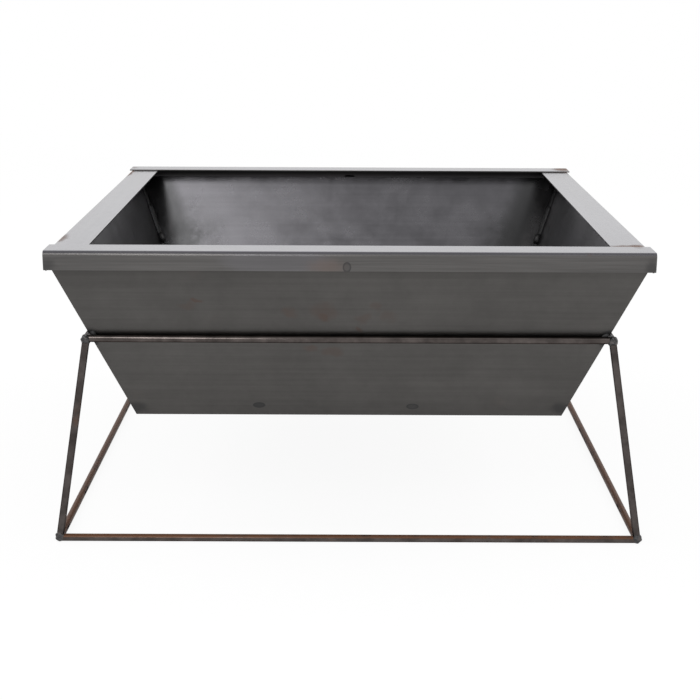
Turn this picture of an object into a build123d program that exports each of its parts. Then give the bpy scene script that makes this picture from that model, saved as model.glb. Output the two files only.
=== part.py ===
from build123d import *
from math import cos, radians, sin, sqrt, tan
import os

# Square fire pit in raw steel: a tapered sheet bowl with a folded rim, held in a splayed stand of
# round bar, with a loose bar grate inside. +X is right, +Y is back, +Z is up, and the origin is on the
# ground under the middle of the pit. Sizes are in millimetres and angles in degrees.

# Rim
rim_height = 400.0  # ground to the top of the front and back rim strips
rim_square = 780.0  # outer face to outer face of the front and back lips
side_spread = 4.0  # the side lips and flanges reach this much further out, each side
strip_overhang = 1.0  # front and back strips past the side strips, each end
flange_width = 45.0  # flat top leg of the front and back strips
lip_drop = 25.0  # leg of a rim strip that is turned down
bend_radius = 4.0  # inside radius of the fold

# Bowl
sheet = 2.0  # thickness of the rim strips, the walls and the base plate
wall_lean = 21.5  # walls from the vertical
wall_top_drop = 19.0  # rim top down to the walls' upper edges, behind the lips
bowl_clearance = 150.0  # ground to the walls' lower edges
base_rise = 10.0  # walls' lower edges up to the underside of the base plate

# Stand
bar = 10.0  # diameter of its round bar
top_ring_height = 274.0  # ground to the axis of the ring round the bowl
leg_splay = 40.5  # foot of a leg outside its top, both to the side and to the front or back
corner_dressing = 3.5  # ground off the point of each mitred corner

# Grate
grate_bar = 10.0  # diameter of its round bar
ash_room = 28.0  # base plate up to the stay under the grate
grate_bar_count = 11
grate_corner_room = 1.0  # between a corner of the ring and the bead in the bowl's corner
stay_end_room = 3.0  # free room between an end of the stay and the wall

# Welds
corner_bead = 4.0  # leg of the beads up the bowl's inner corners
corner_bead_crown = 2.4  # their crown, from each of the two walls
base_bead = 5.0  # leg of the beads round the base plate
base_bead_length = 22.0
base_bead_places = (-127.0, 86.0)  # along each wall, from its middle
lip_bead = 6.0  # height of the tack between a wall's upper edge and its lip
lip_bead_length = 18.0
rim_corner_bead = 4.0  # leg of the beads where the side strips end behind the front and back lips
blob_build = 2.2  # welds at the stand's corners, proud of its bars
blob_flats = 6  # sides that those welds are dressed in
blob_taper = 25.0  # their two ends, towards the leg's line
blob_shift = 1.5  # from a ring's corner towards the leg that meets it
foot_relief = 0.5  # foot welds dressed off this far above the ground
tack_width = 9.0  # tacks that hold the bowl's corners to the top ring
tack_rise = 8.0  # their height above the ring's axis
grate_bead = 4.0  # leg of the welds beside the ends of the grate's bars, and in its ring's corners
grate_bead_depth = 6.0  # height of those welds

# Clearances
weld_gap = 0.2  # between edges that are butted for welding
rest_gap = 0.3  # between a bar and the wall that it bears on

os.makedirs("parts", exist_ok=True)


def save(builder, name):
    """Label a finished piece and write it to its own file."""
    builder.part.label = name
    export_step(builder.part, f"parts/{name}.step")


def turned(plane, turn):
    """A plane carried round the pit's upright axis. A turn of 0 keeps it at the front, 90 takes it right."""
    return Plane(Location((0, 0, 0), (0, 0, turn)) * plane.location)


sides = {"front": 0, "right": 90, "back": 180, "left": 270}
spreads = {"front": 0, "right": side_spread, "back": 0, "left": side_spread}
corners = {"front_right": 0, "back_right": 90, "back_left": 180, "front_left": 270}

# Walls of the bowl
lean = radians(wall_lean)
wall_top = rim_height - wall_top_drop
wall_slant = (wall_top - bowl_clearance) / cos(lean)
lip_face = rim_square / 2 - sheet  # inner faces of the front and back lips, from the middle


def wall_half(height):
    """Half the bowl's outer width at a height above the ground."""
    return lip_face - weld_gap - (wall_top - height) * tan(lean)


def cavity_half(height):
    """Half the bowl's inner width at a height above the ground."""
    return wall_half(height) - sheet / cos(lean)


front_wall = Plane(
    origin=(0, -wall_half(bowl_clearance), bowl_clearance),
    x_dir=(1, 0, 0),
    z_dir=(0, -cos(lean), -sin(lean)),
)


def wall_outline(turn):
    """One wall drawn on its outer face, with its lower edge on the plane's X axis."""
    lower = wall_half(bowl_clearance)
    upper = wall_half(wall_top)
    with BuildSketch(turned(front_wall, turn)) as outline:
        with BuildLine():
            Polyline((-lower, 0), (lower, 0), (upper, wall_slant), (-upper, wall_slant), close=True)
        make_face()
    return outline.sketch


for side in ("front", "back"):
    with BuildPart() as wall:
        extrude(wall_outline(sides[side]), amount=-sheet)
    save(wall, f"{side}_wall")

# The side walls stand between the front and back ones, with their edges cut to those inner faces.
for side in ("left", "right"):
    with BuildPart() as wall:
        extrude(wall_outline(sides[side]), amount=-sheet)
        for neighbour in ("front", "back"):
            inner_face = turned(front_wall.offset(-sheet - weld_gap), sides[neighbour])
            split(bisect_by=inner_face, keep=Keep.BOTTOM)
    save(wall, f"{side}_wall")

# Base plate, dropped into the taper until its lower edges meet the walls
base_underside = bowl_clearance + base_rise
base_top = base_underside + sheet
base_side = 2 * (cavity_half(base_underside) - weld_gap)

with BuildPart() as base_plate:
    with BuildSketch(Plane.XY.offset(base_underside)):
        Rectangle(base_side, base_side)
    extrude(amount=sheet)
save(base_plate, "base_plate")


# Rim strips, folded from sheet: the front and back ones lie on the side ones
def strip_section(side, top):
    """Section of a rim strip at the middle of its length, lip outside, for a flange at a height."""
    lip = -rim_square / 2 - spreads[side]
    flange_edge = flange_width - rim_square / 2
    with BuildSketch(turned(Plane.YZ, sides[side])) as section:
        with BuildLine():
            fold = FilletPolyline(
                (lip, top - lip_drop), (lip, top), (flange_edge, top), radius=bend_radius + sheet
            )
            offset(fold, amount=sheet, side=Side.RIGHT)
        make_face()
    return section.sketch


long_strip_half = rim_square / 2 + side_spread + strip_overhang
for side in ("front", "back"):
    with BuildPart() as strip:
        extrude(strip_section(side, rim_height), amount=long_strip_half, both=True)
    save(strip, f"{side}_rim_strip")

side_strip_half = lip_face - bend_radius - weld_gap
for side in ("left", "right"):
    with BuildPart() as strip:
        extrude(strip_section(side, rim_height - sheet), amount=side_strip_half, both=True)
    save(strip, f"{side}_rim_strip")


# Rings of round bar, mitred at the corners with the points ground back
def ring_bar(half, height, diameter, reach, turn):
    """One bar of a square ring, whose corners reach that far from the pit's upright axis."""
    with BuildPart() as piece:
        with BuildSketch(turned(Plane.YZ, turn)):
            with Locations((-half, height)):
                Circle(diameter / 2)
        extrude(amount=half + diameter, both=True)
        for way in (1, -1):
            mitre = Plane(origin=(0, 0, 0), z_dir=(way, 1, 0)).offset(-weld_gap / 2)
            split(bisect_by=turned(mitre, turn), keep=Keep.BOTTOM)
            ground_back = Plane(origin=(0, 0, 0), z_dir=(way, -1, 0)).offset(reach)
            split(bisect_by=turned(ground_back, turn), keep=Keep.BOTTOM)
    return piece


def stand_ring(half, height):
    """The four bars of one of the stand's rings, by side."""
    reach = (half + bar / 2) * sqrt(2) - corner_dressing
    return {side: ring_bar(half, height, bar, reach, turn) for side, turn in sides.items()}


top_ring_half = wall_half(top_ring_height) + (bar / 2 + rest_gap) / cos(lean)
foot_ring_half = top_ring_half + leg_splay
foot_ring_height = bar / 2

top_ring = stand_ring(top_ring_half, top_ring_height)
foot_ring = stand_ring(foot_ring_half, foot_ring_height)
for side in sides:
    save(top_ring[side], f"{side}_top_bar")
    save(foot_ring[side], f"{side}_foot_bar")

# Legs, cut level under the top ring and on the foot ring
leg_top = Vector(top_ring_half, -top_ring_half, top_ring_height)
leg_foot = Vector(foot_ring_half, -foot_ring_half, foot_ring_height)
leg_axis = leg_foot - leg_top
legs = {}
for corner, turn in corners.items():
    with BuildPart() as leg:
        with BuildSketch(turned(Plane(origin=leg_top, z_dir=leg_axis), turn)):
            Circle(bar / 2)
        extrude(amount=leg_axis.length)
        split(bisect_by=Plane.XY.offset(top_ring_height - bar / 2 - weld_gap), keep=Keep.BOTTOM)
        split(bisect_by=Plane.XY.offset(bar + weld_gap), keep=Keep.TOP)
    legs[corner] = leg
    save(leg, f"{corner}_leg")

# Grate: a ring that beds on the four walls, bars across it from front to back, and a stay under them
stay_height = base_top + ash_room + grate_bar / 2
grate_height = stay_height + grate_bar + weld_gap
grate_half = cavity_half(grate_height) - (grate_bar / 2 + rest_gap) / cos(lean)
grate_reach = (cavity_half(grate_height - grate_bar / 2) - corner_bead_crown) * sqrt(2) - grate_corner_room
grate_ring = {}
for side, turn in sides.items():
    grate_ring[side] = ring_bar(grate_half, grate_height, grate_bar, grate_reach, turn)
    save(grate_ring[side], f"grate_{side}_bar")

grate_pitch = 2 * grate_half / (grate_bar_count + 1)
bar_places = [(i + 1) * grate_pitch - grate_half for i in range(grate_bar_count)]
bar_end = grate_half - grate_bar / 2 - weld_gap
cross_bars = []
for number, place in enumerate(bar_places, start=1):
    with BuildPart() as cross_bar:
        with BuildSketch(Plane.XZ):
            with Locations((place, grate_height)):
                Circle(grate_bar / 2)
        extrude(amount=bar_end, both=True)
    cross_bars.append(cross_bar)
    save(cross_bar, f"grate_bar_{number:02d}")

stay_half = cavity_half(stay_height - grate_bar / 2) - stay_end_room
with BuildPart() as grate_stay:
    with BuildSketch(Plane.YZ):
        with Locations((0, stay_height)):
            Circle(grate_bar / 2)
    extrude(amount=stay_half, both=True)
save(grate_stay, "grate_stay")


# Welds of the bowl and the rim
def corner_section(height):
    """Section across the bead in the bowl's front right corner at a height, slightly crowned."""
    x, y = cavity_half(height), -cavity_half(height)
    with BuildSketch(Plane.XY.offset(height)) as section:
        with BuildLine():
            Polyline((x - corner_bead, y), (x, y), (x, y + corner_bead))
            ThreePointArc(
                (x - corner_bead, y),
                (x - corner_bead_crown, y + corner_bead_crown),
                (x, y + corner_bead),
            )
        make_face()
    return section.sketch


with BuildPart() as corner_weld:
    loft([corner_section(base_top), corner_section(wall_top)])
with BuildPart() as bowl_corner_welds:
    with PolarLocations(0, len(corners)):
        add(corner_weld.part)
save(bowl_corner_welds, "bowl_corner_welds")

with BuildPart() as base_weld:
    wall_foot = -cavity_half(base_top)
    with BuildSketch(Plane.YZ):
        with BuildLine():
            Polyline(
                (wall_foot, base_top),
                (wall_foot - base_bead * tan(lean), base_top + base_bead),
                (wall_foot + base_bead, base_top),
                close=True,
            )
        make_face()
    extrude(amount=base_bead_length / 2, both=True)
with BuildPart() as base_plate_welds:
    with PolarLocations(0, len(sides)):
        with Locations([(place, 0) for place in base_bead_places]):
            add(base_weld.part)
save(base_plate_welds, "base_plate_welds")

with BuildPart() as lip_welds:
    for side, turn in sides.items():
        face = lip_face + spreads[side]
        with BuildSketch(turned(Plane.YZ, turn)):
            with BuildLine():
                Polyline(
                    (-face, wall_top - (face - wall_half(wall_top)) * tan(lean)),
                    (-face, wall_top + lip_bead),
                    (-wall_half(wall_top) + sheet * cos(lean), wall_top + sheet * sin(lean)),
                    close=True,
                )
            make_face()
        extrude(amount=lip_bead_length / 2, both=True)
save(lip_welds, "lip_welds")

with BuildPart() as rim_corner_weld:
    side_face = lip_face + side_spread
    with BuildSketch(Plane.XY.offset(rim_height - lip_drop)):
        with BuildLine():
            Polyline(
                (side_face + sheet, -lip_face),
                (side_face - rim_corner_bead, -lip_face),
                (side_face, -side_strip_half),
                (side_face + sheet, -side_strip_half),
                close=True,
            )
        make_face()
    extrude(amount=lip_drop - sheet - bend_radius)
with BuildPart() as rim_corner_welds:
    add(rim_corner_weld.part)
    mirror(about=Plane.YZ)
    mirror(about=Plane.XZ)
save(rim_corner_welds, "rim_corner_welds")

# Welds of the stand, each cut back by the bars that it joins
leg_way = leg_axis.normalized()
blob_radius = bar / 2 + blob_build


def stand_blob(middle):
    """A lump of weld about the front right leg's line, widest at that point."""
    with BuildPart() as lump:
        with BuildSketch(Plane(origin=middle, z_dir=leg_axis)):
            RegularPolygon(blob_radius, blob_flats)
        extrude(amount=blob_radius, both=True, taper=blob_taper)
    return lump


with BuildPart() as top_blob:
    add(stand_blob(leg_top + leg_way * blob_shift).part)
    for piece in (top_ring["front"], top_ring["right"], legs["front_right"]):
        add(piece.part, mode=Mode.SUBTRACT)
with BuildPart() as top_corner_welds:
    with PolarLocations(0, len(corners)):
        add(top_blob.part)
save(top_corner_welds, "top_corner_welds")

with BuildPart() as foot_blob:
    add(stand_blob(leg_foot - leg_way * blob_shift).part)
    for piece in (foot_ring["front"], foot_ring["right"], legs["front_right"]):
        add(piece.part, mode=Mode.SUBTRACT)
    split(bisect_by=Plane.XY.offset(foot_relief), keep=Keep.TOP)
with BuildPart() as foot_corner_welds:
    with PolarLocations(0, len(corners)):
        add(foot_blob.part)
save(foot_corner_welds, "foot_corner_welds")

# Tacks between the top ring's corners and the bowl's, drawn in the upright plane through a corner
with BuildPart() as bowl_envelope:
    with BuildSketch(Plane.XY.offset(bowl_clearance)):
        Rectangle(2 * wall_half(bowl_clearance), 2 * wall_half(bowl_clearance))
    with BuildSketch(Plane.XY.offset(wall_top)):
        Rectangle(2 * wall_half(wall_top), 2 * wall_half(wall_top))
    loft()

with BuildPart() as bowl_tack:
    with BuildSketch(Plane(origin=(0, 0, top_ring_height), x_dir=(1, -1, 0), z_dir=(-1, -1, 0))):
        with BuildLine():
            Polyline(
                (wall_half(top_ring_height) * sqrt(2), 0),
                (wall_half(top_ring_height + tack_rise) * sqrt(2), tack_rise),
                (top_ring_half * sqrt(2), 0),
                close=True,
            )
        make_face()
    extrude(amount=tack_width / 2, both=True)
    for piece in (top_ring["front"], top_ring["right"], top_blob, bowl_envelope):
        add(piece.part, mode=Mode.SUBTRACT)
with BuildPart() as bowl_tack_welds:
    with PolarLocations(0, len(corners)):
        add(bowl_tack.part)
save(bowl_tack_welds, "bowl_tack_welds")


# Welds of the grate, level with its bars: one on each side of a bar's end, one in each corner of the ring
def grate_wedge(points):
    """A level slab with that outline about the grate's bars."""
    with BuildPart() as slab:
        with BuildSketch(Plane.XY.offset(grate_height)):
            with BuildLine():
                Polyline(*points, close=True)
            make_face()
        extrude(amount=grate_bead_depth / 2, both=True)
    return slab.part


wedge = grate_bar + grate_bead
with BuildPart() as grate_welds:
    for cross_bar, place in zip(cross_bars, bar_places):
        for end in (-1, 1):
            ring_line = end * grate_half
            tip = (place, ring_line - end * wedge)
            add(grate_wedge([(place - wedge, ring_line), (place + wedge, ring_line), tip]))
        add(cross_bar.part, mode=Mode.SUBTRACT)
    for x_way in (-1, 1):
        for y_way in (-1, 1):
            x, y = x_way * grate_half, y_way * grate_half
            add(grate_wedge([(x, y), (x - x_way * wedge, y), (x, y - y_way * wedge)]))
    for piece in grate_ring.values():
        add(piece.part, mode=Mode.SUBTRACT)
save(grate_welds, "grate_welds")
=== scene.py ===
import math

import bmesh
import bpy
from bpy.props import FloatProperty, FloatVectorProperty, PointerProperty
from mathutils import Matrix, Vector, noise


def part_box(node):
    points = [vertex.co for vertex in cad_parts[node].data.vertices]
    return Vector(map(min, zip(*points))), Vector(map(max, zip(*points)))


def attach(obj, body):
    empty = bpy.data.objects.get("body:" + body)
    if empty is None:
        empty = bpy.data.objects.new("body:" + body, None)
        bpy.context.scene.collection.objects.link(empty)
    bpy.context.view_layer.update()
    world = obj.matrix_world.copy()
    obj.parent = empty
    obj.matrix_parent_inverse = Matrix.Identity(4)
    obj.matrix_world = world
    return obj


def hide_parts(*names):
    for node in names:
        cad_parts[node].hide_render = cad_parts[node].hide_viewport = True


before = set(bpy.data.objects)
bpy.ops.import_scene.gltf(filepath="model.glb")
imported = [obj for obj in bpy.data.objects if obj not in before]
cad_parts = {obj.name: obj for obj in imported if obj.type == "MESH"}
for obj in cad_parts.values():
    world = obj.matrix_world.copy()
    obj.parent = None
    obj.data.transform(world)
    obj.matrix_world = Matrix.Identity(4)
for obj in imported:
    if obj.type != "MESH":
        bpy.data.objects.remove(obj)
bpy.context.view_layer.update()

bl_info = {
    "name": "Square Fire Pit",
    "version": (1, 0, 0),
    "blender": (4, 5, 0),
    "location": "View3D > Sidebar > Fire Pit",
    "description": "Mill-scale finishes, weld beads and a studio for a square steel fire pit",
    "category": "Object",
}

# Walls and rim strips repeat round the pit, so their marks are placed in the front one's own
# directions: along it to the right, into the pit, and up. A side's angle turns the front one to it.
SIDES = {"front": 0.0, "right": 90.0, "back": 180.0, "left": 270.0}
CORNERS = ((1, -1), (1, 1), (-1, 1), (-1, -1))
ENDS = (-1, 1)

# Sizes read from the frame, in metres
RIM_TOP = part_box("front_rim_strip")[1].z
LIP_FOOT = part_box("front_rim_strip")[0].z
RIM_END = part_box("front_rim_strip")[1].x
RIM_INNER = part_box("front_rim_strip")[1].y
RIM_HALF = {
    "front": -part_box("front_rim_strip")[0].y,
    "right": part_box("right_rim_strip")[1].x,
    "back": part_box("back_rim_strip")[1].y,
    "left": -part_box("left_rim_strip")[0].x,
}
BEAD_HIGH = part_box("bowl_corner_welds")[1]
BASE_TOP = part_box("base_plate")[1].z
WALL_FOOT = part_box("front_wall")[0].z
WALL_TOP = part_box("front_wall")[1].z
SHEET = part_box("base_plate")[1].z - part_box("base_plate")[0].z
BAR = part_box("front_top_bar")[1].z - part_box("front_top_bar")[0].z
TOP_RING = Vector((
    0.0, -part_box("front_top_bar")[0].y - BAR / 2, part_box("front_top_bar")[0].z + BAR / 2))
FOOT_RING = Vector((0.0, -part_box("front_foot_bar")[0].y - BAR / 2, BAR / 2))
GRATE_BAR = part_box("grate_bar_01")[1].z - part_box("grate_bar_01")[0].z
GRATE_RING = -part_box("grate_front_bar")[0].y - GRATE_BAR / 2
GRATE_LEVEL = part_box("grate_front_bar")[0].z + GRATE_BAR / 2

# Sizes that the frame's boxes don't give: the lean of the walls, the places of the base plate's
# welds along each side, and half the lengths of these and of the lips' welds
WALL_LEAN = math.radians(21.5)
BASE_WELDS = (-0.127, 0.086)
BASE_WELD_HALF = 0.011
LIP_WELD_HALF = 0.009

# Second run of weld in the bowl's corners, from and to a height above the top ring's middle, and
# the burnt lump at its foot: height above that middle, distance from both walls, radius and half
# length
SECOND_RUN = (0.005, 0.060)
BURN_RISE = 0.003
BURN_INSET = 0.0025
BURN_RADIUS = 0.0075
BURN_HALF = 0.0105

# Tacks between the top ring and the bowl: distance inwards and upwards from the ring's corner,
# radius and half length
TACK_INSET = 0.0035
TACK_RADIUS = 0.0042
TACK_HALF = 0.0050

# Shift of the stand's corner lumps along the legs, their room above the ground, and how far the
# middles of the grate's tacks lie off its bars
LUMP_SHIFT = 0.0015
GROUND_ROOM = 0.0004
GRATE_TACK_ROOM = 0.0008

# Form of a bead: points across it, and as parts of its leg how much its middle is flattened and how
# much it wavers. Form of a lump, as parts of its radius: its spiral ripple and its uneven swell
BEAD_POINTS = 9
BEAD_FLATNESS = 0.14
BEAD_WAVER = 0.10
LUMP_RIPPLE = 0.035
LUMP_SWELL = 0.13

# Half size of a mark that goes right through a piece or along all of it
ENDLESS = 9.0

# Half sizes of the burnt marks on a wall: over a base weld, in a lower corner, behind a bowl tack
BASE_MARK = (0.0085, ENDLESS, 0.0045)
CORNER_BURN = (0.022, ENDLESS, 0.011)
TACK_BURN = (0.013, ENDLESS, 0.016)

# How far below the top ring's middle the painted corner shade, drawn as sooty scale in the bowl's
# corners, is centred
SOOT_SHADE_DROP = 0.012

# Marks on a lip, from the tack in its middle: offset along, offset up, half width, half height
LIP_RUB = (-0.095, 0.006, 0.070, 0.016)
LIP_BLUSH = (-0.030, 0.0, 0.028, 0.013)
LIP_RING = (-0.0037, -0.0005, 0.0052, 0.0066)

# Heat marks over the base plate's welds: place along a wall, height, and how far the middle is
# burnt too
BASE_MARKS = ((-0.125, 0.166, 0.95), (0.088, 0.1645, 0.65))

# Smears on the front wall: place along, height, half width, half height and strength
WALL_SMEARS = (
    (-0.203, 0.330, 0.0085, 0.0040, 0.90),
    (-0.213, 0.323, 0.012, 0.0060, 0.40),
    (-0.079, 0.313, 0.012, 0.0090, 0.55),
    (-0.034, 0.315, 0.018, 0.0140, 0.50),
    (-0.034, 0.308, 0.006, 0.0055, 0.80),
    (0.012, 0.290, 0.007, 0.0040, 0.80),
    (0.016, 0.305, 0.012, 0.0080, 0.45),
    (0.034, 0.322, 0.010, 0.0080, 0.40),
    (0.052, 0.308, 0.012, 0.0100, 0.35),
    (-0.053, 0.257, 0.010, 0.0070, 0.60),
    (-0.022, 0.255, 0.014, 0.0085, 0.50),
)

# Painted corner shade, drawn as sooty scale in the bowl's inner corners, at the two ends of a wall:
# half width and half height
SOOT_SHADE_REACH = {
    "front": ((0.095, 0.080), (0.095, 0.080)),
    "right": ((0.095, 0.080), (0.190, 0.120)),
    "back": ((0.150, 0.100), (0.150, 0.115)),
    "left": ((0.190, 0.120), (0.095, 0.080)),
}

# Painted corner shade beside the corner welds, at the two ends of a wall: far side of the dark
# band, where the band is full, and how clean the scale is between it and the weld
CORNER_SHADE_REACH = {
    "front": ((0.085, 0.050, 0.25), (0.085, 0.050, 0.25)),
    "back": ((0.095, 0.055, 0.45), (0.075, 0.045, 0.10)),
}

# Rust on the rim strips' tops: place along, place across with the outer edge below 0, half length,
# half width and strength
RIM_RUST = {
    "front": ((0.379, -0.350, 0.007, 0.005, 0.35),),
    "right": (
        (-0.338, -0.349, 0.006, 0.007, 0.90),
        (-0.334, -0.366, 0.010, 0.026, 0.75),
        (-0.331, -0.380, 0.010, 0.014, 1.00),
        (0.342, -0.390, 0.009, 0.008, 0.75),
        (0.120, -0.393, 0.010, 0.004, 0.35),
    ),
    "back": ((-0.386, -0.370, 0.020, 0.024, 0.90), (0.391, -0.368, 0.005, 0.012, 0.40)),
    "left": ((0.292, -0.391, 0.030, 0.010, 0.75), (-0.325, -0.3895, 0.060, 0.0040, 0.95)),
}

# Reflection of the matt rust, and the tint that keeps the edges of the round bars dark
RUST_REFLECTION = 0.12
BAR_EDGE_TINT = (0.18, 0.16, 0.16, 1.0)

# Directions in the room, as parts of a unit vector: where its walls darken into the ceiling, and
# the upper edge, the depth and the half width of the dark gap in front
CEILING_EDGE = (0.36, 0.66)
GAP_TOP = (0.95, 0.74)
GAP_FRONT = (-0.15, -0.45)
GAP_SIDE = (0.26, 0.14)

# Point that the lamps are turned to, lean of the left softbox, half size and drop of the floor, and
# the distances between which the shadow on it fades
LIT_POINT = (0.0, 0.0, 0.3)
KEY_LEAN = math.radians(24.0)
FLOOR_HALF = 60.0
FLOOR_DROP = 0.0003
SHADOW_REACH = (1.2, 4.5)


def half_inside(height):
    """Half the bowl's inner width at a height above the ground."""
    return BEAD_HIGH.x - (BEAD_HIGH.z - height) * math.tan(WALL_LEAN)


class FirePitSteel(bpy.types.PropertyGroup):
    """Colours and gloss of the steel"""

    wall_outside: FloatVectorProperty(
        name="Wall outside", description="Mill scale on the outside of the bowl",
        subtype="COLOR", size=4, default=(0.0865, 0.0832, 0.0800, 1.0))
    wall_inside: FloatVectorProperty(
        name="Wall inside", description="Mill scale on the inside of the bowl",
        subtype="COLOR", size=4, default=(0.089, 0.087, 0.093, 1.0))
    # A lighter copy of the inner wall colour for the two side walls: painted light
    side_inside_lit: FloatVectorProperty(
        name="Side wall inside",
        description="Duller scale on the inner faces of the left and right walls",
        subtype="COLOR", size=4, default=(0.112, 0.110, 0.116, 1.0))
    # Lighter than the lip: rubbed wear and painted sheen of the light grazing the flat tops
    rim_top_wear_and_sheen: FloatVectorProperty(
        name="Rim top", description="Rubbed steel on the flat tops of the rim strips",
        subtype="COLOR", size=4, default=(0.165, 0.161, 0.178, 1.0))
    # Dark colour of the hidden side of the rim strips: painted shade
    rim_inside_shade: FloatVectorProperty(
        name="Rim inside", description="Dull scale on the hidden side of the rim strips",
        subtype="COLOR", size=4, default=(0.036, 0.035, 0.035, 1.0))
    # Also painted light on the lower part of the rim strips' hidden side
    clean_scale_and_light: FloatVectorProperty(
        name="Clean scale",
        description="Cleaner scale inside the lips of the rim strips and beside corner welds",
        subtype="COLOR", size=4, default=(0.140, 0.136, 0.139, 1.0))
    rim_lip: FloatVectorProperty(
        name="Rim lip", description="Mill scale on the lips of the rim strips",
        subtype="COLOR", size=4, default=(0.108, 0.104, 0.102, 1.0))
    bar: FloatVectorProperty(
        name="Stand bar", description="Drawn bar of the stand",
        subtype="COLOR", size=4, default=(0.078, 0.067, 0.063, 1.0))
    # A darker copy of the bar colour for the legs: painted shade
    leg: FloatVectorProperty(
        name="Leg bar", description="Darker bar of the legs",
        subtype="COLOR", size=4, default=(0.070, 0.061, 0.058, 1.0))
    grate: FloatVectorProperty(
        name="Grate bar", description="Bars of the grate",
        subtype="COLOR", size=4, default=(0.075, 0.072, 0.070, 1.0))
    weld: FloatVectorProperty(
        name="Weld metal", description="Weld metal before its tempering colours",
        subtype="COLOR", size=4, default=(0.085, 0.083, 0.084, 1.0))
    rust: FloatVectorProperty(
        name="Rust", description="First bloom of rust",
        subtype="COLOR", size=4, default=(0.118, 0.058, 0.034, 1.0))
    # Also the colour of the painted corner shade inside the bowl
    heat: FloatVectorProperty(
        name="Heat mark", description="Scale burnt or sooted by the heat of a weld",
        subtype="COLOR", size=4, default=(0.042, 0.042, 0.043, 1.0))
    smear: FloatVectorProperty(
        name="Smear", description="Brown smears on the front wall",
        subtype="COLOR", size=4, default=(0.091, 0.071, 0.063, 1.0))
    straw: FloatVectorProperty(
        name="Straw tint", description="Tempering colour round a heat mark",
        subtype="COLOR", size=4, default=(0.155, 0.122, 0.110, 1.0))
    outside_roughness: FloatProperty(
        name="Outside roughness",
        description="Roughness of the mill scale on the outside of the bowl",
        subtype="FACTOR", min=0.0, max=1.0, default=0.40)
    inside_roughness: FloatProperty(
        name="Inside roughness",
        description="Roughness of the mill scale inside the front and back walls",
        subtype="FACTOR", min=0.0, max=1.0, default=0.25)
    side_roughness: FloatProperty(
        name="Side roughness",
        description="Roughness of the duller scale inside the two side walls",
        subtype="FACTOR", min=0.0, max=1.0, default=0.38)
    rim_roughness: FloatProperty(
        name="Rim roughness", description="Roughness of the rim strips",
        subtype="FACTOR", min=0.0, max=1.0, default=0.20)
    bar_roughness: FloatProperty(
        name="Bar roughness", description="Roughness of the round bars",
        subtype="FACTOR", min=0.0, max=1.0, default=0.12)


class FirePitWelds(bpy.types.PropertyGroup):
    """Sizes of the weld beads"""

    corner_leg: FloatProperty(
        name="Corner bead", description="Leg of the beads up the bowl's inner corners",
        unit="LENGTH", default=0.004)
    second_leg: FloatProperty(
        name="Second bead",
        description="Leg of the second run in those corners, above the stand's top ring",
        unit="LENGTH", default=0.0065)
    base_leg: FloatProperty(
        name="Base bead", description="Leg of the beads round the base plate",
        unit="LENGTH", default=0.005)
    lip_leg: FloatProperty(
        name="Lip tack", description="Leg of the tacks between walls and lips",
        unit="LENGTH", default=0.0045)
    rim_leg: FloatProperty(
        name="Rim corner bead",
        description="Leg of the beads that close the gaps at the ends of the side lips",
        unit="LENGTH", default=0.0054)
    ripple_pitch: FloatProperty(
        name="Ripple pitch", description="From one ripple of a bead to the next",
        unit="LENGTH", default=0.0026)
    ripple_height: FloatProperty(
        name="Ripple height", description="Step of a ripple as a part of the bead's leg",
        subtype="FACTOR", min=0.0, max=0.5, default=0.14)
    blob_radius: FloatProperty(
        name="Corner lump", description="Radius of the weld at a corner of the stand",
        unit="LENGTH", default=0.0072)
    grate_lump: FloatProperty(
        name="Grate tack", description="Radius of the tacks beside the grate's bars",
        unit="LENGTH", default=0.0036)


class FirePitStage(bpy.types.PropertyGroup):
    """Floor, light and camera"""

    floor: FloatVectorProperty(
        name="Floor", description="Colour of the floor",
        subtype="COLOR", size=4, default=(0.95, 0.95, 0.95, 1.0))
    shadow_share: FloatProperty(
        name="Shadow share", description="Part of the floor that takes light and shadow",
        subtype="FACTOR", min=0.0, max=1.0, default=0.08)
    front_gap: FloatProperty(
        name="Front gap", description="Brightness of the gap between the front softboxes",
        min=0.0, default=0.28)
    ceiling: FloatProperty(
        name="Ceiling", description="Brightness of the room overhead",
        min=0.0, default=0.65)
    key_level: FloatProperty(
        name="Key light", description="Brightness of the left softbox", min=0.0, default=5.7)
    fill_level: FloatProperty(
        name="Fill light", description="Brightness of the wide softbox", min=0.0, default=0.75)
    back_level: FloatProperty(
        name="Back light", description="Brightness of the white panel behind the pit",
        min=0.0, default=0.32)
    side_level: FloatProperty(
        name="Side lights", description="Brightness of the softboxes above the two sides",
        min=0.0, default=2.0)
    camera_place: FloatVectorProperty(
        name="Camera", description="Place of the camera",
        subtype="TRANSLATION", unit="LENGTH", size=3, default=(-0.00243, -2.1258, 0.7544))
    camera_pitch: FloatProperty(
        name="Camera pitch", description="Camera's tilt below the horizon",
        subtype="ANGLE", unit="ROTATION", default=0.2721)
    camera_roll: FloatProperty(
        name="Camera roll", description="Camera's turn about its own line of sight",
        subtype="ANGLE", unit="ROTATION", default=0.0047)
    camera_yaw: FloatProperty(
        name="Camera yaw", description="Camera's turn to the right",
        subtype="ANGLE", unit="ROTATION", default=0.0018)
    lens: FloatProperty(
        name="Lens", description="Focal length in millimetres on a 36 mm frame",
        min=1.0, default=70.82)


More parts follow.
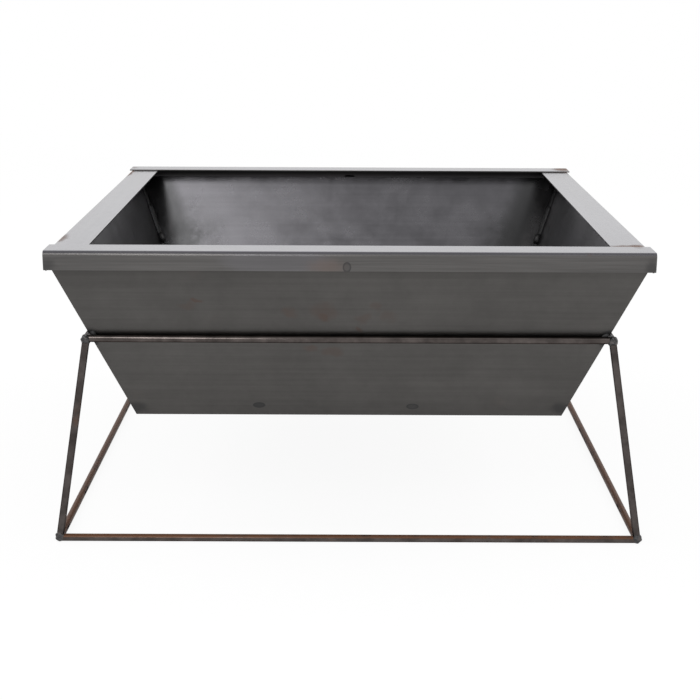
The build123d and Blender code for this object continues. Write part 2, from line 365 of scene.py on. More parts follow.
class Finish:
    """A procedural material while its nodes are wired."""

    def __init__(self, owner):
        owner.use_nodes = True
        self.tree = owner.node_tree
        self.owner = owner

    def node(self, kind, inputs, **settings):
        """A shader node with its settings, and with values or links on its inputs."""
        made = self.tree.nodes.new("ShaderNode" + kind)
        for setting, value in settings.items():
            setattr(made, setting, value)
        for socket, value in inputs.items():
            self.feed(made.inputs[socket], value)
        return made

    def feed(self, socket, value):
        """Link an output to a socket, or set the socket to a value."""
        if isinstance(value, bpy.types.NodeSocket):
            self.tree.links.new(value, socket)
        else:
            socket.default_value = value

    def math(self, operation, first, second=0.0):
        """A sum, product or other operation on two values."""
        return self.node("Math", {0: first, 1: second}, operation=operation).outputs[0]

    def times(self, first, second):
        """The product of two values."""
        return self.math("MULTIPLY", first, second)

    def plus(self, base, value, gain):
        """A base plus a value times a gain."""
        return self.math("ADD", base, self.times(value, gain))

    def vector(self, operation, first, second):
        """The same operation on each part of two vectors."""
        return self.node("VectorMath", {0: first, 1: second}, operation=operation).outputs[0]

    def mix(self, share, first, second, blend="MIX"):
        """One colour over another by a share from 0 to 1."""
        made = self.node("Mix", {0: share, 6: first, 7: second}, data_type="RGBA", blend_type=blend)
        return made.outputs[2]

    def shade(self, colour, factor):
        """A colour made darker or lighter by a factor."""
        return self.mix(1.0, colour, factor, "MULTIPLY")

    def ease(self, value, start, end, low=0.0, high=1.0):
        """A smooth change from low to high while value goes from start to end."""
        made = self.node(
            "MapRange",
            {"Value": value, "From Min": start, "From Max": end, "To Min": low, "To Max": high},
            interpolation_type="SMOOTHSTEP",
        )
        return made.outputs[0]

    def noise(self, place, scale, detail=5.0, roughness=0.55):
        """Cloudy noise about 0.5, with a scale in cells a metre."""
        inputs = {"Vector": place, "Scale": scale, "Detail": detail, "Roughness": roughness}
        return self.node("TexNoise", inputs).outputs[0]

    def place(self, turn, seed):
        """Points of the piece in the front one's directions, and the same moved for the noises."""
        raw = self.node("TexCoord", {}).outputs["Object"]
        turned = self.node(
            "VectorRotate", {"Vector": raw, "Angle": -math.radians(turn)}, rotation_type="Z_AXIS"
        ).outputs[0]
        return turned, self.vector("ADD", turned, (seed * 3.7, seed * 1.3, seed * 2.1))

    def ragged(self, place, source, scale, reach):
        """A place moved about by noise, so that what is drawn there gets a ragged edge."""
        swirl = self.node("TexNoise", {"Vector": source, "Scale": scale, "Detail": 3.0})
        centred = self.vector("SUBTRACT", swirl.outputs["Color"], (0.5, 0.5, 0.5))
        return self.vector("ADD", place, self.vector("MULTIPLY", centred, (reach, reach, reach)))

    def facing_up(self, start, end):
        """1 where the surface faces up, 0 where it faces down or to the side."""
        normal = self.node("NewGeometry", {}).outputs["Normal"]
        upward = self.node("SeparateXYZ", {0: normal}).outputs["Z"]
        return self.ease(upward, start, end)

    def spread(self, place, centre, size):
        """Distance from a centre, 1 at the edge of an ellipse of those half sizes."""
        offset = self.vector("SUBTRACT", place, centre)
        scaled = self.vector("DIVIDE", offset, size)
        return self.node("VectorMath", {0: scaled}, operation="LENGTH").outputs["Value"]

    def surface(self, colour, metallic, roughness, height):
        """Wire colour, metal, roughness and relief to the shader, which keeps rust almost matt."""
        shader = self.tree.nodes["Principled BSDF"]
        relief = self.node("Bump", {"Height": height, "Strength": 1.0, "Distance": 1.0})
        self.feed(shader.inputs["Base Color"], colour)
        self.feed(shader.inputs["Metallic"], metallic)
        self.feed(shader.inputs["Roughness"], roughness)
        self.feed(shader.inputs["Normal"], relief.outputs[0])
        shader.inputs["Specular IOR Level"].default_value = RUST_REFLECTION
        return self.owner


def steel(name):
    """A new finish for one kind of steel."""
    return Finish(bpy.data.materials.new(name))


def sheet_grain(finish, place, along, speckle):
    """Rolling streaks, clouds and fine speckle of mill scale, and their relief in metres.

    A speckle of 1 is rough scale, and less of it leaves the sheet smoother.
    """
    stretched = finish.vector("MULTIPLY", place, along)
    streaks = finish.noise(stretched, 1.0, 4.0, 0.6)
    clouds = finish.noise(place, 5.0, 4.0, 0.55)
    mottle = finish.noise(place, 85.0, 6.0, 0.68)
    shares = ((clouds, 0.34), (streaks, 0.34), (mottle, 0.18 * speckle))
    tone = 1.0 - sum(share for part, share in shares) / 2
    for part, share in shares:
        tone = finish.plus(tone, part, share)
    height = finish.times(finish.noise(place, 7.0, 2.0, 0.4), 0.0007)
    for part, depth in ((streaks, 0.000007 * speckle), (mottle, 0.000003 * speckle)):
        height = finish.plus(height, part, depth)
    return tone, mottle, height


def wall_finish(side):
    """Mill scale of one wall, with the marks that its welds have burnt through it, painted shade
    under the lip, along the foot and in the inner corners, and painted light along the inner top
    and on the side walls' inner faces.
    """
    look = bpy.context.scene.fire_pit_steel
    finish = steel(f"{side}_wall_scale")
    point, cloud_point = finish.place(SIDES[side], SIDES[side] / 90.0)
    tone, mottle, height = sheet_grain(finish, cloud_point, (3.0, 60.0, 190.0), 1.0)
    inside = finish.facing_up(-0.05, 0.05)
    height_up = finish.node("SeparateXYZ", {0: point}).outputs["Z"]

    # Painted shade outside, under the lip and along the foot; painted light inside, lighter along
    # the top
    lip_shadow = finish.ease(height_up, LIP_FOOT - 0.014, LIP_FOOT, 1.0, 0.84)
    foot_shade = finish.ease(height_up, WALL_FOOT + 0.05, WALL_FOOT, 1.0, 0.86)
    painted_shade = finish.math("MINIMUM", lip_shadow, foot_shade)
    outside = finish.shade(tuple(look.wall_outside), painted_shade)
    lit_top_inside = finish.ease(height_up, WALL_TOP - 0.0100, WALL_TOP - 0.0005, 1.0, 3.0)
    # The side walls take the lighter copy of the inside colour, painted light
    duller_side = side in ("left", "right")
    inner = look.side_inside_lit if duller_side else look.wall_inside
    colour = finish.mix(inside, outside, finish.shade(tuple(inner), lit_top_inside))
    colour = finish.shade(colour, tone)

    # Smoky handling marks, stronger inside
    swirled = finish.ragged(cloud_point, cloud_point, 7.0, 0.06)
    smoke = finish.noise(swirled, 17.0, 7.0, 0.62)
    depth = finish.plus(0.10, inside, 0.14)
    haze = finish.times(finish.ease(smoke, 0.34, 0.66, -0.5, 0.5), depth)
    colour = finish.shade(colour, finish.math("ADD", haze, 1.0))

    # A straw bloom outside, and the front wall's smears
    outer_face = finish.math("SUBTRACT", 1.0, inside)
    bloom = finish.ease(finish.noise(cloud_point, 14.0, 4.0, 0.5), 0.62, 0.85, 0.0, 0.18)
    bloom = finish.times(bloom, outer_face)
    colour = finish.mix(bloom, colour, tuple(look.straw))
    if side == "front":
        torn = finish.ragged(point, cloud_point, 55.0, 0.022)
        for along, up, wide, tall, strength in WALL_SMEARS:
            smear = finish.spread(torn, (along, 0.0, up), (wide, ENDLESS, tall))
            smear = finish.times(finish.ease(smear, 1.25, 0.4, 0.0, strength), outer_face)
            colour = finish.mix(smear, colour, tuple(look.smear))

    # Rings burnt by the base plate's welds
    for along, up, solid in BASE_MARKS:
        ring = finish.spread(point, (along, 0.0, up), BASE_MARK)
        middle = finish.ease(ring, 0.80, 0.60, 0.0, 1.0 - solid)
        burnt = finish.math("SUBTRACT", finish.ease(ring, 1.12, 0.92), middle)
        colour = finish.mix(finish.times(burnt, 0.85), colour, tuple(look.heat))

    # Burns where the wall's ends are welded, and painted corner shade drawn as sooty scale
    ragged = finish.ragged(point, cloud_point, 60.0, 0.012)
    smoky = finish.ragged(point, cloud_point, 30.0, 0.055)
    patchy = finish.ease(finish.noise(cloud_point, 75.0, 5.0, 0.65), 0.35, 0.65, 0.6, 1.25)
    for end, (wide, tall) in zip(ENDS, SOOT_SHADE_REACH[side]):
        low_corner = (end * half_inside(BASE_TOP), 0.0, BASE_TOP)
        burnt = finish.spread(ragged, low_corner, CORNER_BURN)
        colour = finish.mix(finish.ease(burnt, 1.2, 0.4, 0.0, 0.7), colour, tuple(look.heat))
        tacked = end * half_inside(TOP_RING.z)
        soot_shade = finish.spread(smoky, (tacked, 0.0, TOP_RING.z - SOOT_SHADE_DROP), (wide, ENDLESS, tall))
        soot_shade = finish.times(finish.ease(soot_shade, 1.0, 0.2, 0.0, 0.85), inside)
        colour = finish.mix(finish.times(soot_shade, patchy), colour, tuple(look.heat))
        core = finish.spread(ragged, (tacked, 0.0, TOP_RING.z), TACK_BURN)
        colour = finish.mix(finish.ease(core, 0.95, 0.6, 0.0, 0.85), colour, tuple(look.heat))

    # A dark band of painted shade beside each corner weld, and cleaned scale between the two
    ragged_parts = finish.node("SeparateXYZ", {0: ragged}).outputs
    corner = finish.plus(half_inside(0.0), ragged_parts["Z"], math.tan(WALL_LEAN))
    for end, (far, full, clean) in zip(ENDS, CORNER_SHADE_REACH.get(side, ())):
        gap = finish.math("SUBTRACT", corner, finish.times(ragged_parts["X"], end))
        corner_shade = finish.times(
            finish.ease(gap, 0.012, 0.030), finish.ease(gap, far, full, 0.0, 0.9))
        colour = finish.mix(finish.times(corner_shade, inside), colour, tuple(look.heat))
        bared = finish.times(finish.ease(gap, 0.040, 0.015, 0.0, clean), inside)
        colour = finish.mix(bared, colour, tuple(look.clean_scale_and_light))

    inside_roughness = look.side_roughness if duller_side else look.inside_roughness
    roughness = finish.plus(
        look.outside_roughness - 0.03, inside, inside_roughness - look.outside_roughness)
    for part, gain in ((mottle, 0.06), (haze, 0.25), (bloom, 0.12)):
        roughness = finish.plus(roughness, part, gain)
    return finish.surface(colour, 1.0, roughness, height)


def rim_finish(side):
    """A rim strip: rubbed flat top with painted sheen, scaled lip, hidden side in painted shade and
    light, burnt weld marks and rust along its edges.
    """
    look = bpy.context.scene.fire_pit_steel
    finish = steel(f"{side}_rim_scale")
    point, cloud_point = finish.place(SIDES[side], 5.0 + SIDES[side] / 90.0)
    tone, mottle, height = sheet_grain(finish, cloud_point, (3.0, 170.0, 170.0), 0.12)
    top = finish.facing_up(0.35, 0.95)
    lip = -RIM_HALF[side]
    parts = finish.node("SeparateXYZ", {0: point}).outputs
    inward = parts["Y"]
    turned_in = finish.ease(inward, lip + 0.3 * SHEET, lip + 0.7 * SHEET)
    cut_edge = finish.ease(inward, RIM_INNER - 0.2 * SHEET, RIM_INNER - 0.4 * SHEET)
    turned_in = finish.times(turned_in, cut_edge)
    drawn = finish.noise(finish.vector("MULTIPLY", cloud_point, (7.0, 40.0, 420.0)), 1.0, 5.0, 0.65)
    worn = finish.shade(tuple(look.rim_lip), finish.ease(drawn, 0.28, 0.72, 0.88, 1.12))
    # Hidden side in painted shade, with painted light on its lower part
    lit_lower_inside = finish.ease(parts["Z"], RIM_TOP - 0.0105, RIM_TOP - 0.0205)
    hidden = finish.mix(lit_lower_inside, tuple(look.rim_inside_shade), tuple(look.clean_scale_and_light))
    colour = finish.mix(turned_in, worn, hidden)
    # Up-facing tops lighter: rubbed wear and painted sheen
    colour = finish.mix(top, colour, tuple(look.rim_top_wear_and_sheen))
    colour = finish.shade(colour, tone)
    ragged = finish.ragged(point, cloud_point, 90.0, 0.010)

    # Behind the middle of the lip sits the tack that has burnt a ring and a blush into the scale
    tack_height = BEAD_HIGH.z
    outer_face = finish.math("SUBTRACT", 1.0, turned_in)
    along, rise, wide, tall = LIP_RUB
    rubbed = finish.spread(ragged, (along, 0.0, tack_height + rise), (wide, ENDLESS, tall))
    rubbed = finish.times(finish.ease(rubbed, 1.2, 0.8, 0.0, 0.30), outer_face)
    colour = finish.mix(rubbed, colour, tuple(look.rim_top_wear_and_sheen))
    along, rise, wide, tall = LIP_BLUSH
    blush = finish.spread(ragged, (along, 0.0, tack_height + rise), (wide, ENDLESS, tall))
    blush = finish.times(finish.ease(blush, 1.3, 0.2, 0.0, 0.55), outer_face)
    colour = finish.mix(blush, colour, tuple(look.straw))
    along, rise, wide, tall = LIP_RING
    ring = finish.spread(point, (along, 0.0, tack_height + rise), (wide, ENDLESS, tall))
    burnt = finish.times(finish.ease(ring, 1.15, 0.95), finish.ease(ring, 0.55, 0.90, 0.45, 1.0))
    burnt = finish.times(finish.times(burnt, outer_face), 0.7)
    colour = finish.mix(burnt, colour, tuple(look.heat))
    for end in ENDS:
        lip_end = (end * (RIM_END - 0.005), lip, tack_height)
        burnt = finish.spread(ragged, lip_end, (0.010, 0.005, 0.010))
        colour = finish.mix(finish.ease(burnt, 1.5, 0.3, 0.0, 0.50), colour, tuple(look.heat))

    # Rust along the outer edge and in the places listed above
    outer_edge = finish.spread(point, (0.0, lip, RIM_TOP), (ENDLESS, 0.006, 0.006))
    speckle = finish.noise(cloud_point, 30.0, 6.0, 0.7)
    bloom = finish.times(
        finish.ease(outer_edge, 1.0, 0.2), finish.ease(speckle, 0.56, 0.72, 0.0, 0.4))
    for along, across, long, wide, strength in RIM_RUST[side]:
        spot = finish.spread(ragged, (along, across, RIM_TOP), (long, wide, 0.012))
        bloom = finish.math("MAXIMUM", bloom, finish.ease(spot, 1.25, 0.35, 0.0, strength))
    colour = finish.mix(bloom, colour, tuple(look.rust))

    roughness = finish.plus(look.rim_roughness - 0.04, mottle, 0.08)
    roughness = finish.math("ADD", roughness, finish.ease(top, 0.0, 1.0, 0.13, 0.0))
    roughness = finish.plus(roughness, bloom, 0.30)
    metallic = finish.ease(bloom, 0.0, 1.0, 1.0, 0.3)
    return finish.surface(colour, metallic, roughness, height)


def base_finish():
    """Mill scale of the base plate, burnt round the beads that hold it."""
    look = bpy.context.scene.fire_pit_steel
    finish = steel("base_plate_scale")
    point, cloud_point = finish.place(0.0, 11.0)
    tone, mottle, height = sheet_grain(finish, cloud_point, (3.0, 170.0, 170.0), 1.0)
    colour = finish.shade(tuple(look.wall_inside), tone)
    swirled = finish.ragged(cloud_point, cloud_point, 7.0, 0.06)
    haze = finish.ease(finish.noise(swirled, 13.0, 7.0, 0.62), 0.34, 0.66, 0.80, 1.20)
    colour = finish.shade(colour, haze)
    bloom = finish.ease(finish.noise(cloud_point, 11.0, 6.0, 0.65), 0.62, 0.80, 0.0, 0.5)
    colour = finish.mix(bloom, colour, tuple(look.rust))
    for turn in SIDES.values():
        for along in BASE_WELDS:
            centre = round_pit(turn, (along, -half_inside(BASE_TOP), BASE_TOP))
            burnt = finish.spread(point, centre, (0.020, 0.020, ENDLESS))
            colour = finish.mix(finish.ease(burnt, 1.3, 0.6, 0.0, 0.6), colour, tuple(look.heat))
    roughness = finish.plus(look.inside_roughness - 0.02, mottle, 0.12)
    metallic = finish.ease(bloom, 0.0, 1.0, 1.0, 0.3)
    return finish.surface(colour, metallic, roughness, height)


def bar_finish(name, colour, rusting, upper_rust, seed):
    """Round bar with a patchy bloom of rust, and with rust settled on its upper side."""
    look = bpy.context.scene.fire_pit_steel
    finish = steel(name)
    cloud_point = finish.place(0.0, seed)[1]
    mottle = finish.noise(cloud_point, 150.0, 7.0, 0.7)
    patches = finish.noise(cloud_point, 18.0, 6.0, 0.7)
    scale = finish.shade(tuple(colour), finish.plus(0.65, mottle, 0.7))
    drawn = finish.noise(cloud_point, 45.0, 4.0, 0.6)
    scale = finish.shade(scale, finish.ease(drawn, 0.30, 0.70, 0.72, 1.28))
    spread = 0.5 * rusting
    bloom = finish.ease(patches, 0.78 - spread, 0.98 - spread, 0.0, 0.35 + spread)
    settled = finish.times(
        finish.facing_up(0.15, 0.75), finish.ease(patches, 0.30, 0.50, 0.4, 1.0))
    bloom = finish.math("MAXIMUM", bloom, finish.times(settled, upper_rust))
    scale = finish.mix(bloom, scale, tuple(look.rust))
    roughness = finish.plus(look.bar_roughness, bloom, 0.25)
    height = finish.times(mottle, 0.000025)
    metallic = finish.ease(bloom, 0.0, 1.0, 1.0, 0.25)
    shader = finish.tree.nodes["Principled BSDF"]
    shader.inputs["Specular Tint"].default_value = BAR_EDGE_TINT
    return finish.surface(scale, metallic, roughness, height)


def weld_finish(name, dulled):
    """Weld metal with patches of tempering colours, which a dulled weld shows less of."""
    look = bpy.context.scene.fire_pit_steel
    finish = steel(name)
    cloud_point = finish.place(0.0, 17.0)[1]
    patches = finish.noise(cloud_point, 120.0, 4.0, 0.6)
    mottle = finish.noise(cloud_point, 600.0, 5.0, 0.7)
    tempered = finish.ease(patches, 0.50, 0.66, 0.0, 0.5 * (1.0 - dulled))
    colour = finish.mix(tempered, tuple(look.weld), tuple(look.straw))
    burnt = finish.ease(patches, 0.54 + 0.2 * dulled, 0.36 + 0.2 * dulled, 0.0, 0.8)
    colour = finish.mix(burnt, colour, tuple(look.heat))
    colour = finish.shade(colour, finish.plus(0.6, mottle, 0.8))
    roughness = finish.plus(0.20 + 0.30 * dulled, mottle, 0.25)
    height = finish.times(mottle, 0.00012)
    return finish.surface(colour, 1.0, roughness, height)


def paint(names, material):
    """Give CAD pieces a finish."""
    for name in names:
        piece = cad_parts[name]
        piece.data.materials.clear()
        piece.data.materials.append(material)


def fillet_bead(mesh, start, end, first, second, leg, seed):
    """Add a rippled bead along a line, between two faces that leave the line in two directions."""
    welds = bpy.context.scene.fire_pit_welds
    way = end - start
    rings = max(8, int(way.length / welds.ripple_pitch * 6))
    loops = []
    for i in range(rings + 1):
        share = i / rings
        fade = max(0.05, 1.0 - abs(2.0 * share - 1.0) ** 14) ** 0.5
        travel = share * way.length
        loop = [mesh.verts.new(start + way * share)]
        for j in range(BEAD_POINTS):
            part = j / (BEAD_POINTS - 1)
            angle = math.pi / 2 * part
            bow = (2.0 * part - 1.0) ** 2
            phase = (travel / welds.ripple_pitch + 0.7 * bow) % 1.0
            ripple = welds.ripple_height * (phase ** 0.6 - 0.6) - BEAD_FLATNESS
            swell = 1.0 + ripple * math.sin(2 * angle)
            drift = BEAD_WAVER * noise.noise(Vector((travel * 160.0, angle * 2.0, seed)))
            spoke = first * math.cos(angle) + second * math.sin(angle)
            loop.append(mesh.verts.new(start + way * share + spoke * leg * fade * (swell + drift)))
        loops.append(loop)
    for near, far in zip(loops, loops[1:]):
        for k in range(len(near)):
            nxt = (k + 1) % len(near)
            mesh.faces.new((near[k], near[nxt], far[nxt], far[k]))
    mesh.faces.new(loops[0][::-1])
    mesh.faces.new(loops[-1])


def weld_lump(mesh, centre, axis, radius, length, seed, detail=4):
    """Add a lumpy tack of weld with a radius and a half length, rippled along an axis."""
    turn = axis.to_track_quat("Z", "Y").to_matrix().to_4x4()
    made = bmesh.ops.create_icosphere(mesh, subdivisions=detail, radius=1.0)
    for vert in made["verts"]:
        ball = vert.co.copy()
        swirl = math.sin(9.0 * ball.z + 2.0 * math.atan2(ball.y, ball.x) + seed)
        uneven = noise.noise(ball * 1.7 + Vector((seed, 0.0, 0.0)))
        swell = 1.0 + LUMP_RIPPLE * swirl + LUMP_SWELL * uneven
        stretched = Vector((ball.x * radius, ball.y * radius, ball.z * length))
        vert.co = centre + turn @ stretched * swell


def weld_piece(name, node, body, finish, draw):
    """Make one piece of weld that stands for a CAD node."""
    mesh = bpy.data.meshes.new(name)
    shape = bmesh.new()
    draw(shape)
    bmesh.ops.recalc_face_normals(shape, faces=shape.faces)
    shape.to_mesh(mesh)
    shape.free()
    mesh.polygons.foreach_set("use_smooth", [True] * len(mesh.polygons))
    mesh.materials.append(finish)
    piece = bpy.data.objects.new(name, mesh)
    bpy.context.scene.collection.objects.link(piece)
    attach(piece, body)
    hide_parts(node)


def round_pit(turn, point):
    """A point at the front carried to another side of the pit."""
    return Matrix.Rotation(math.radians(turn), 3, "Z") @ Vector(point)


def bowl_corner(x, y, height):
    """A point in one of the bowl's inner corners."""
    return Vector((x * half_inside(height), y * half_inside(height), height))


def draw_corner_beads(shape):
    """Beads up the bowl's inner corners, with a second run and a burnt lump in each."""
    welds = bpy.context.scene.fire_pit_welds
    for seed, (x, y) in enumerate(CORNERS):
        faces = Vector((-x, 0, 0)), Vector((0, -y, 0))
        foot, top = bowl_corner(x, y, BASE_TOP), bowl_corner(x, y, BEAD_HIGH.z)
        fillet_bead(shape, foot, top, *faces, welds.corner_leg, seed)
        low, high = (bowl_corner(x, y, TOP_RING.z + rise) for rise in SECOND_RUN)
        fillet_bead(shape, low, high, *faces, welds.second_leg, 30 + seed)
        burn = bowl_corner(x, y, TOP_RING.z + BURN_RISE) + BURN_INSET * (faces[0] + faces[1])
        weld_lump(shape, burn, top - foot, BURN_RADIUS, BURN_HALF, 50 + seed, detail=3)


def draw_base_beads(shape):
    """Short beads between the base plate and the walls, two on each side."""
    leg = bpy.context.scene.fire_pit_welds.base_leg
    foot = half_inside(BASE_TOP)
    up_wall = Vector((0.0, -math.sin(WALL_LEAN), math.cos(WALL_LEAN)))
    for turn in SIDES.values():
        faces = round_pit(turn, (0, 1, 0)), round_pit(turn, up_wall)
        for along in BASE_WELDS:
            start = round_pit(turn, (along - BASE_WELD_HALF, -foot, BASE_TOP))
            end = round_pit(turn, (along + BASE_WELD_HALF, -foot, BASE_TOP))
            fillet_bead(shape, start, end, *faces, leg, turn + along)


def draw_lip_tacks(shape):
    """A short bead between each wall's top edge and the lip in front of it."""
    leg = bpy.context.scene.fire_pit_welds.lip_leg
    into_pit = Vector((0.0, math.cos(WALL_LEAN), math.sin(WALL_LEAN)))
    for side, turn in SIDES.items():
        gap = RIM_HALF[side] - RIM_HALF["front"]
        root = (-(RIM_HALF[side] - SHEET), BEAD_HIGH.z - gap * math.tan(WALL_LEAN))
        start = round_pit(turn, (-LIP_WELD_HALF, *root))
        end = round_pit(turn, (LIP_WELD_HALF, *root))
        faces = round_pit(turn, (0, 0, 1)), round_pit(turn, into_pit)
        fillet_bead(shape, start, end, *faces, leg + gap, turn)


def draw_rim_beads(shape):
    """Beads that close the corners of the rim, at the ends of the side lips."""
    leg = bpy.context.scene.fire_pit_welds.rim_leg
    lip_face = RIM_HALF["front"] - SHEET
    outer = RIM_HALF["right"] - 0.15 * SHEET
    for seed, (x, y) in enumerate(CORNERS):
        nook = Vector((x * outer, y * lip_face, LIP_FOOT))
        top = Vector((nook.x, nook.y, RIM_TOP - 3 * SHEET))
        fillet_bead(shape, nook, top, Vector((-x, 0, 0)), Vector((0, -y, 0)), leg, 20 + seed)


def leg_line(x, y):
    """Top and foot of the line of one leg."""
    return (Vector((x * TOP_RING.y, y * TOP_RING.y, TOP_RING.z)),
            Vector((x * FOOT_RING.y, y * FOOT_RING.y, FOOT_RING.z)))


def draw_top_lumps(shape):
    """Lumps where the legs meet the stand's top ring."""
    radius = bpy.context.scene.fire_pit_welds.blob_radius
    for seed, (x, y) in enumerate(CORNERS):
        top, foot = leg_line(x, y)
        way = (foot - top).normalized()
        weld_lump(shape, top + way * LUMP_SHIFT, way, radius * 0.97, radius, 3.1 * seed)


def draw_foot_lumps(shape):
    """Lumps where the legs meet the foot ring, kept off the ground."""
    radius = bpy.context.scene.fire_pit_welds.blob_radius
    for seed, (x, y) in enumerate(CORNERS):
        top, foot = leg_line(x, y)
        way = (foot - top).normalized()
        weld_lump(shape, foot - way * LUMP_SHIFT, way, radius * 0.93, radius, 40 + 3.1 * seed)
    for vert in shape.verts:
        vert.co.z = max(vert.co.z, GROUND_ROOM)


def draw_bowl_tacks(shape):
    """Tacks between the corners of the top ring and the bowl."""
    reach = TOP_RING.y - TACK_INSET
    for seed, (x, y) in enumerate(CORNERS):
        centre = Vector((x * reach, y * reach, TOP_RING.z + TACK_INSET))
        axis = Vector((x, y, 1.2)).normalized()
        weld_lump(shape, centre, axis, TACK_RADIUS, TACK_HALF, 70 + seed, detail=3)


def draw_grate_tacks(shape):
    """Tacks on both sides of the ends of the grate's bars, and in its ring's corners."""
    radius = bpy.context.scene.fire_pit_welds.grate_lump
    nook = GRATE_BAR / 2 + GRATE_TACK_ROOM
    inner = GRATE_RING - nook
    bars = [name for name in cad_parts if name.startswith("grate_bar_")]
    for name in bars:
        low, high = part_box(name)
        middle = (low.x + high.x) / 2
        for end in ENDS:
            for way in (-1, 1):
                centre = Vector((middle + way * nook, end * inner, GRATE_LEVEL))
                axis = Vector((way, end, 0))
                weld_lump(shape, centre, axis, radius * 0.8, radius, middle * 90 + way, detail=2)
    for x, y in CORNERS:
        centre = Vector((x * inner, y * inner, GRATE_LEVEL))
        weld_lump(shape, centre, Vector((x, -y, 0)), radius, radius * 1.3, 7 * x + y, detail=2)


class FIREPIT_OT_bowl(bpy.types.Operator):
    """Give the walls and the base plate their mill scale"""

    bl_idname = "firepit.bowl"
    bl_label = "Bowl"

    def execute(self, context):
        for side in SIDES:
            paint([f"{side}_wall"], wall_finish(side))
        paint(["base_plate"], base_finish())
        return {"FINISHED"}


class FIREPIT_OT_rim(bpy.types.Operator):
    """Give the four rim strips their finish"""

    bl_idname = "firepit.rim"
    bl_label = "Rim strips"

    def execute(self, context):
        for side in SIDES:
            paint([f"{side}_rim_strip"], rim_finish(side))
        return {"FINISHED"}


class FIREPIT_OT_stand(bpy.types.Operator):
    """Give the stand's round bars their finish"""

    bl_idname = "firepit.stand"
    bl_label = "Stand"

    def execute(self, context):
        look = context.scene.fire_pit_steel
        ring = bar_finish("top_ring_bar", look.bar, rusting=0.25, upper_rust=0.0, seed=21.0)
        paint([f"{side}_top_bar" for side in SIDES], ring)
        # The legs take the darker copy of the bar colour, painted shade
        leg = bar_finish("leg_bar", look.leg, rusting=0.35, upper_rust=0.5, seed=23.0)
        paint([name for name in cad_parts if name.endswith("_leg")], leg)
        foot = bar_finish("foot_bar", look.bar, rusting=0.45, upper_rust=1.0, seed=25.0)
        paint(["front_foot_bar", "back_foot_bar"], foot)
        side_foot = bar_finish("side_foot_bar", look.bar, rusting=0.92, upper_rust=1.0, seed=27.0)
        paint(["left_foot_bar", "right_foot_bar"], side_foot)
        return {"FINISHED"}


class FIREPIT_OT_grate(bpy.types.Operator):
    """Give the loose grate its finish"""

    bl_idname = "firepit.grate"
    bl_label = "Grate"

    def execute(self, context):
        look = context.scene.fire_pit_steel
        scale = bar_finish("grate_bar_scale", look.grate, rusting=0.25, upper_rust=0.4, seed=31.0)
        bars = [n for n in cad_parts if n.startswith("grate_") and n != "grate_welds"]
        paint(bars, scale)
        return {"FINISHED"}


class FIREPIT_OT_welds(bpy.types.Operator):
    """Make the rippled beads and tacks that hold the pit together"""

    bl_idname = "firepit.welds"
    bl_label = "Welds"

    def execute(self, context):
        bead = weld_finish("bead_scale", dulled=0.9)
        weld_piece("bowl_corner_beads", "bowl_corner_welds", "pit", bead, draw_corner_beads)
        weld_piece("base_plate_beads", "base_plate_welds", "pit", bead, draw_base_beads)
        weld_piece("lip_tacks", "lip_welds", "pit", bead, draw_lip_tacks)
        weld_piece("rim_corner_beads", "rim_corner_welds", "pit", bead, draw_rim_beads)
        lump = weld_finish("weld_temper", dulled=0.2)
        weld_piece("top_corner_lumps", "top_corner_welds", "pit", lump, draw_top_lumps)
        weld_piece("foot_corner_lumps", "foot_corner_welds", "pit", lump, draw_foot_lumps)
        weld_piece("bowl_tacks", "bowl_tack_welds", "pit", lump, draw_bowl_tacks)
        weld_piece("grate_tacks", "grate_welds", "grate", lump, draw_grate_tacks)
        return {"FINISHED"}


def floor_finish(stage):
    """White floor that keeps part of the pit's shadow."""
    finish = Finish(bpy.data.materials.new("studio_floor"))
    finish.tree.nodes.clear()
    path = finish.node("LightPath", {})
    seen = finish.math("MAXIMUM", path.outputs["Is Camera Ray"], path.outputs["Is Glossy Ray"])
    seen = finish.math("MAXIMUM", seen, path.outputs["Is Transmission Ray"])
    lit = finish.node("BsdfDiffuse", {"Color": tuple(stage.floor)})
    white = finish.node("Emission", {"Color": (1.0, 1.0, 1.0, 1.0), "Strength": 1.0})
    place = finish.node("TexCoord", {}).outputs["Object"]
    away = finish.spread(place, (0.0, 0.0, 0.0), (1.0, 1.0, 1.0))
    near = finish.ease(away, *SHADOW_REACH, stage.shadow_share, 0.0)
    share = finish.times(seen, finish.math("SUBTRACT", 1.0, near))
    both = finish.node("MixShader", {0: share, 1: lit.outputs[0], 2: white.outputs[0]})
    finish.node("OutputMaterial", {"Surface": both.outputs[0]})
    return finish.owner


def light_room(stage):
    """White room with a darker ceiling and a dark gap high in front, all white to the camera."""
    room = bpy.context.scene.world or bpy.data.worlds.new("studio")
    bpy.context.scene.world = room
    finish = Finish(room)
    finish.tree.nodes.clear()
    path = finish.node("LightPath", {})
    direction = finish.node("TexCoord", {}).outputs["Generated"]
    parts = finish.node("SeparateXYZ", {0: direction}).outputs
    up = parts["Z"]
    dark = finish.times(finish.ease(up, *CEILING_EDGE), finish.ease(up, *GAP_TOP))
    dark = finish.times(dark, finish.ease(parts["Y"], *GAP_FRONT))
    sideways = finish.math("ABSOLUTE", parts["X"])
    dark = finish.times(dark, finish.ease(sideways, *GAP_SIDE))
    level = finish.ease(up, *CEILING_EDGE, 1.0, stage.ceiling)
    dimmed = finish.times(dark, stage.ceiling - stage.front_gap)
    level = finish.math("SUBTRACT", level, dimmed)
    level = finish.math("MAXIMUM", level, path.outputs["Is Camera Ray"])
    glow = finish.node("Background", {"Color": (1.0, 1.0, 1.0, 1.0), "Strength": level})
    finish.node("OutputWorld", {"Surface": glow.outputs[0]})


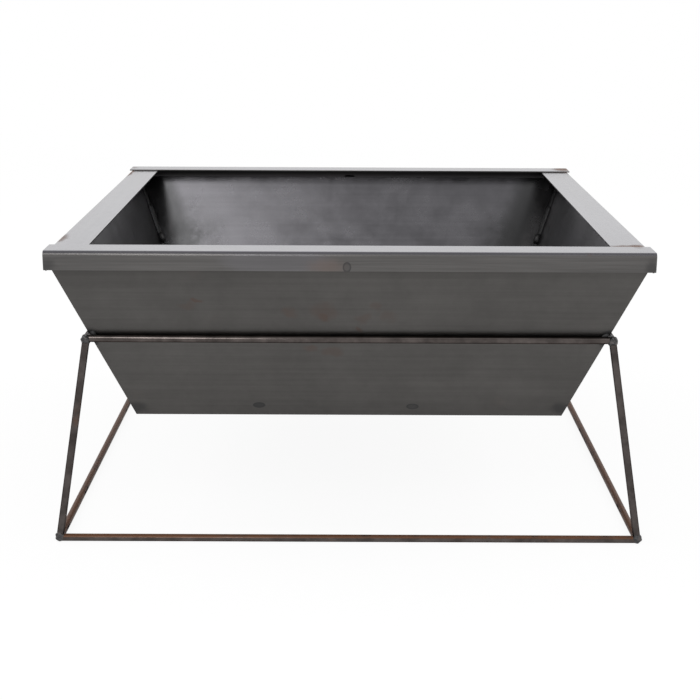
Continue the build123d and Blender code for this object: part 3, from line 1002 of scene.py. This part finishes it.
def softbox(name, place, width, height, level, lean=0.0):
    """A flat lamp of that brightness, turned to the bowl, with its top leaning to the left."""
    lamp = bpy.data.lights.new(name, "AREA")
    lamp.shape = "RECTANGLE"
    lamp.size = width
    lamp.size_y = height
    lamp.energy = level * math.pi * width * height
    box = bpy.data.objects.new(name, lamp)
    box.location = place
    aim = (Vector(LIT_POINT) - Vector(place)).to_track_quat("-Z", "Y").to_matrix()
    box.rotation_euler = (aim @ Matrix.Rotation(lean, 3, "Z")).to_euler()
    box.visible_camera = False
    bpy.context.scene.collection.objects.link(box)


class FIREPIT_OT_stage(bpy.types.Operator):
    """Make the floor, the light and the camera"""

    bl_idname = "firepit.stage"
    bl_label = "Stage"

    def execute(self, context):
        stage = context.scene.fire_pit_stage
        shape = bmesh.new()
        bmesh.ops.create_grid(shape, x_segments=1, y_segments=1, size=FLOOR_HALF)
        mesh = bpy.data.meshes.new("floor")
        shape.to_mesh(mesh)
        shape.free()
        mesh.materials.append(floor_finish(stage))
        floor = bpy.data.objects.new("floor", mesh)
        floor.location.z = -FLOOR_DROP
        context.scene.collection.objects.link(floor)

        light_room(stage)
        softbox("left_softbox", (-0.62, -2.6, 1.80), 0.40, 1.6, stage.key_level, KEY_LEAN)
        softbox("wide_softbox", (0.2, -2.3, 2.9), 3.2, 2.0, stage.fill_level)
        softbox("back_panel", (0.0, 3.2, 2.1), 6.0, 2.6, stage.back_level)
        for side in (-1, 1):
            softbox("side_softbox", (side * 2.6, 0.3, 2.6), 2.4, 2.4, stage.side_level)

        eye = bpy.data.cameras.new("camera")
        eye.sensor_width = 36.0
        eye.lens = stage.lens
        camera = bpy.data.objects.new("camera", eye)
        camera.matrix_world = (
            Matrix.Translation(stage.camera_place)
            @ Matrix.Rotation(-stage.camera_yaw, 4, "Z")
            @ Matrix.Rotation(math.pi / 2 - stage.camera_pitch, 4, "X")
            @ Matrix.Rotation(stage.camera_roll, 4, "Z")
        )
        context.scene.collection.objects.link(camera)
        context.scene.camera = camera
        context.scene.view_settings.view_transform = "Standard"
        return {"FINISHED"}


STEPS = (
    FIREPIT_OT_bowl,
    FIREPIT_OT_rim,
    FIREPIT_OT_stand,
    FIREPIT_OT_grate,
    FIREPIT_OT_welds,
    FIREPIT_OT_stage,
)


class FIREPIT_PT_panel(bpy.types.Panel):
    """Steps and settings of the fire pit"""

    bl_idname = "FIREPIT_PT_panel"
    bl_label = "Square Fire Pit"
    bl_space_type = "VIEW_3D"
    bl_region_type = "UI"
    bl_category = "Fire Pit"

    def draw(self, context):
        """List the steps, then the settings of each group."""
        for step in STEPS:
            self.layout.operator(step.bl_idname)
        for group in ("fire_pit_steel", "fire_pit_welds", "fire_pit_stage"):
            settings = getattr(context.scene, group)
            column = self.layout.column()
            for setting in settings.__annotations__:
                column.prop(settings, setting)


CLASSES = (FirePitSteel, FirePitWelds, FirePitStage, *STEPS, FIREPIT_PT_panel)


def register():
    """Add the classes and the scene's settings."""
    for each in CLASSES:
        bpy.utils.register_class(each)
    bpy.types.Scene.fire_pit_steel = PointerProperty(type=FirePitSteel)
    bpy.types.Scene.fire_pit_welds = PointerProperty(type=FirePitWelds)
    bpy.types.Scene.fire_pit_stage = PointerProperty(type=FirePitStage)


def unregister():
    """Take the settings and the classes away again."""
    del bpy.types.Scene.fire_pit_stage
    del bpy.types.Scene.fire_pit_welds
    del bpy.types.Scene.fire_pit_steel
    for each in reversed(CLASSES):
        bpy.utils.unregister_class(each)


def main():
    """Build everything: the finishes, the welds and the stage."""
    register()
    bpy.ops.firepit.bowl()
    bpy.ops.firepit.rim()
    bpy.ops.firepit.stand()
    bpy.ops.firepit.grate()
    bpy.ops.firepit.welds()
    bpy.ops.firepit.stage()


if __name__ == "__main__":
    main()
